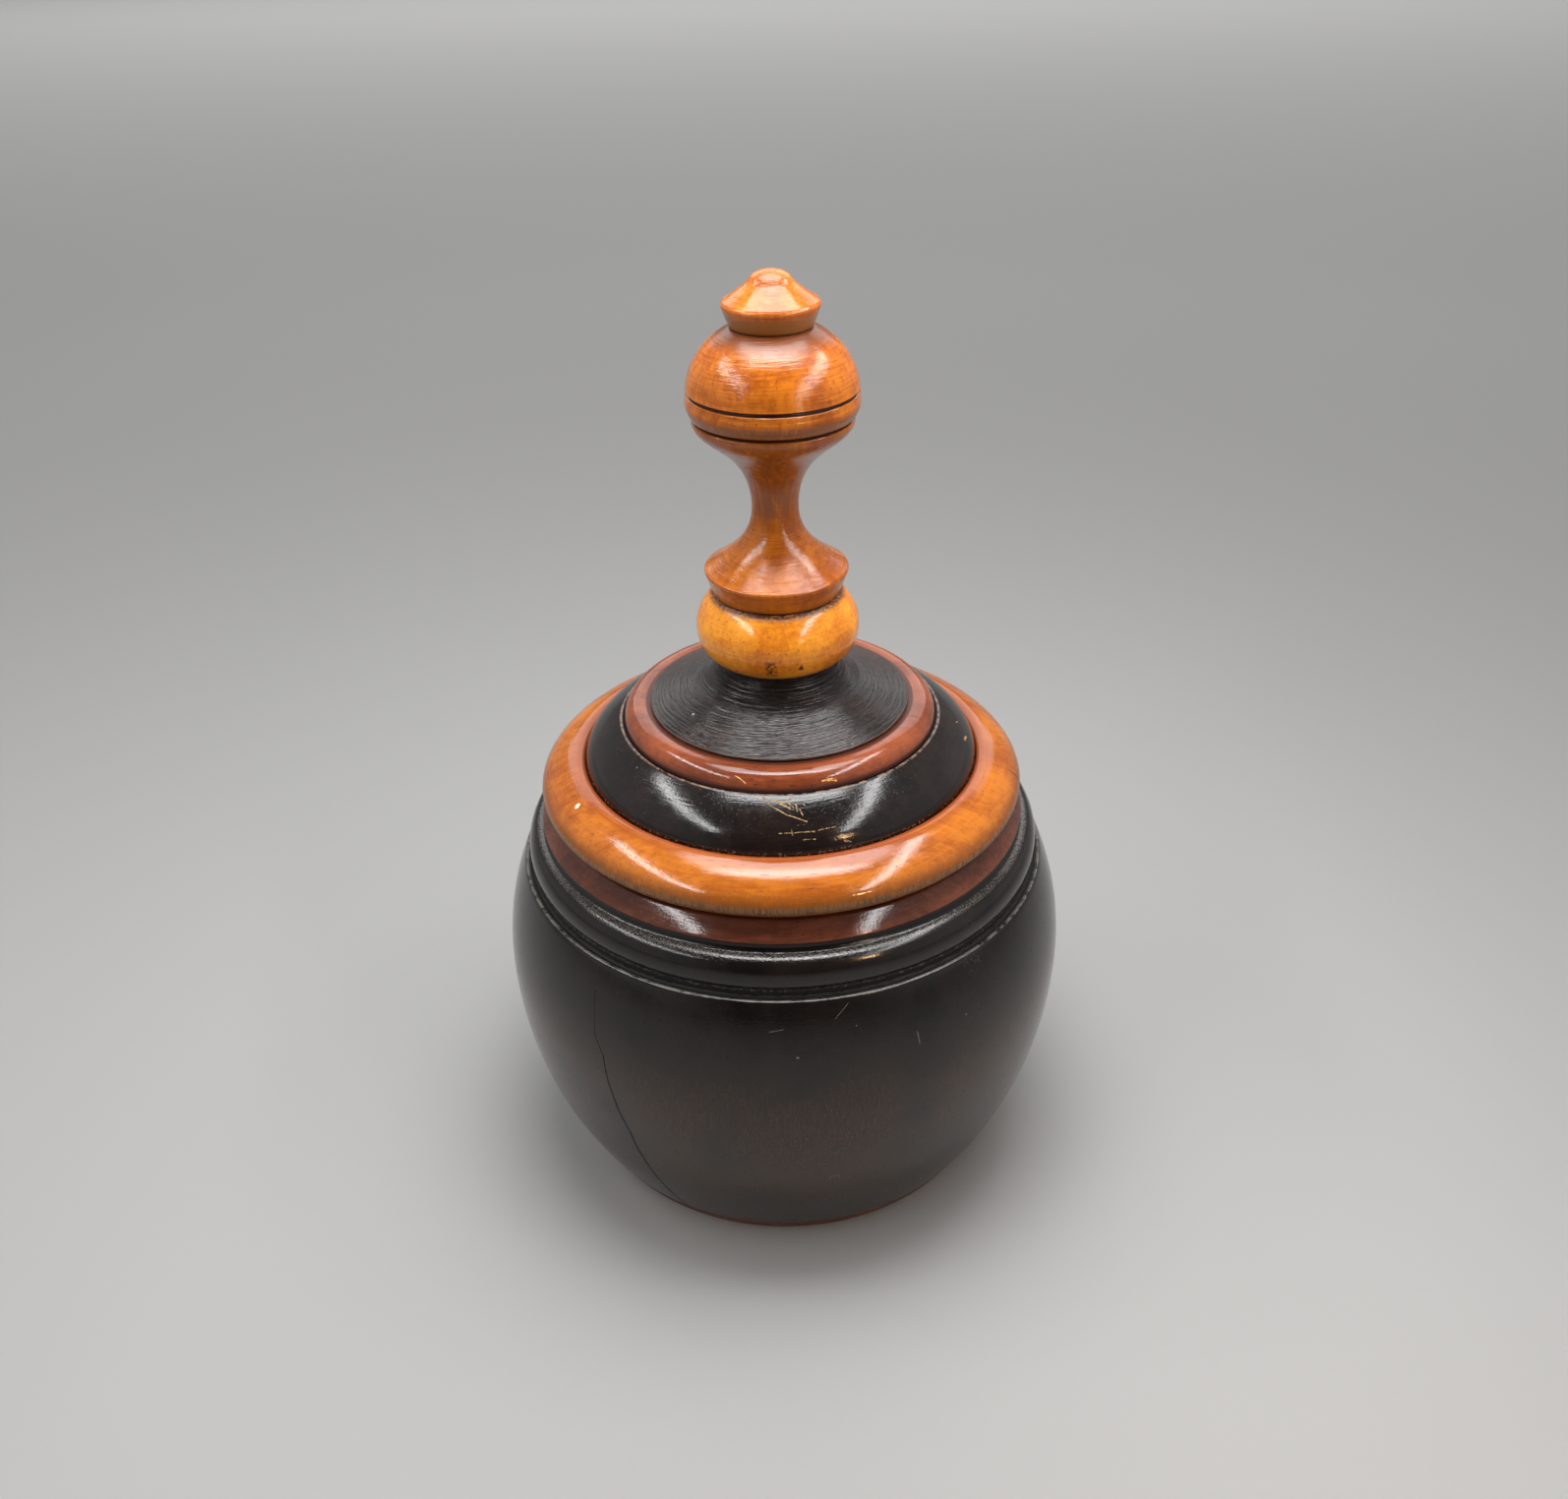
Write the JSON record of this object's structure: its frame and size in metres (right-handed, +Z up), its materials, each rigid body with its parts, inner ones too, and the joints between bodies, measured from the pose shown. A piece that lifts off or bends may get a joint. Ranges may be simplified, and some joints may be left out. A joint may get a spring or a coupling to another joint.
{
  "type": "lidded wooden canister",
  "caption": "Turned wooden canister: a round hollow bowl on a thin foot, with a lift-off domed lid and a tall turned finial.",
  "frame": {"origin": "centre of the foot's standing face, on the axis of turning", "axes": "+Z up along the axis of turning, from the foot to the finial; the round body has no other direction"},
  "size_m": [0.16, 0.16, 0.2509],
  "materials": {
    "black_wood": "black-stained turned wood, semi-gloss lacquer",
    "red_wood": "red-brown stained turned wood, gloss lacquer",
    "honey_wood": "honey-orange turned wood, gloss lacquer"
  },
  "bodies": {
    "jar": {"foot_disc": "red_wood", "bowl": "black_wood", "shoulder_ring": "black_wood", "mouth_ring": "red_wood"},
    "lid": {"lid_rim": "honey_wood", "lid_dome": "black_wood", "accent_ring": "red_wood", "lid_crown": "black_wood", "finial_bulb": "honey_wood", "finial_spindle": "honey_wood", "finial_cap": "honey_wood"}
  },
  "joints": [
    {"name": "lid_lift", "type": "slide", "parent": "jar", "child": "lid", "axis": [0, 0, 1], "range_m": [0, 0.15]}
  ]
}
